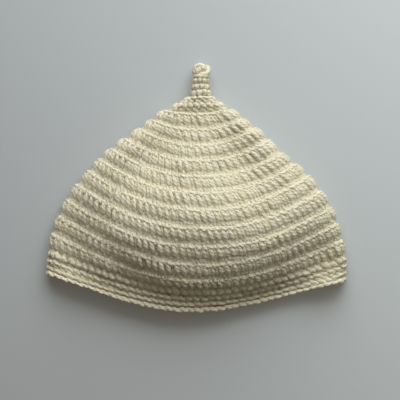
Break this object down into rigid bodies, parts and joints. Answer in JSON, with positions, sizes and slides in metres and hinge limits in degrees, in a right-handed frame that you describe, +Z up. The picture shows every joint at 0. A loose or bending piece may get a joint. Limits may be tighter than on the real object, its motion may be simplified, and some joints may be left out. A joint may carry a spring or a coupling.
{
  "type": "crochet baby hat",
  "caption": "Crocheted baby hat lying flat: a pointed crown of ribbed rounds, a short-stitched brim with a rounded edging, and a small stalk with a knob at the tip.",
  "frame": {"origin": "on the surface that the hat lies on, under the middle of its bounding box", "axes": "seen from above: +X to the right across the hat, +Y from the head opening towards the stalk, +Z up"},
  "size_m": [0.2098, 0.1728, 0.04],
  "materials": {
    "crown_yarn": "soft matt cream wool yarn, tall crochet stitches",
    "brim_yarn": "soft matt cream wool yarn, short crochet stitches",
    "stem_yarn": "soft matt cream wool yarn, tight short crochet stitches"
  },
  "bodies": {
    "root": {"crown": "crown_yarn", "brim_band": "brim_yarn", "brim_edging": "brim_yarn", "stem": "stem_yarn", "stem_knot": "stem_yarn"}
  },
  "joints": []
}
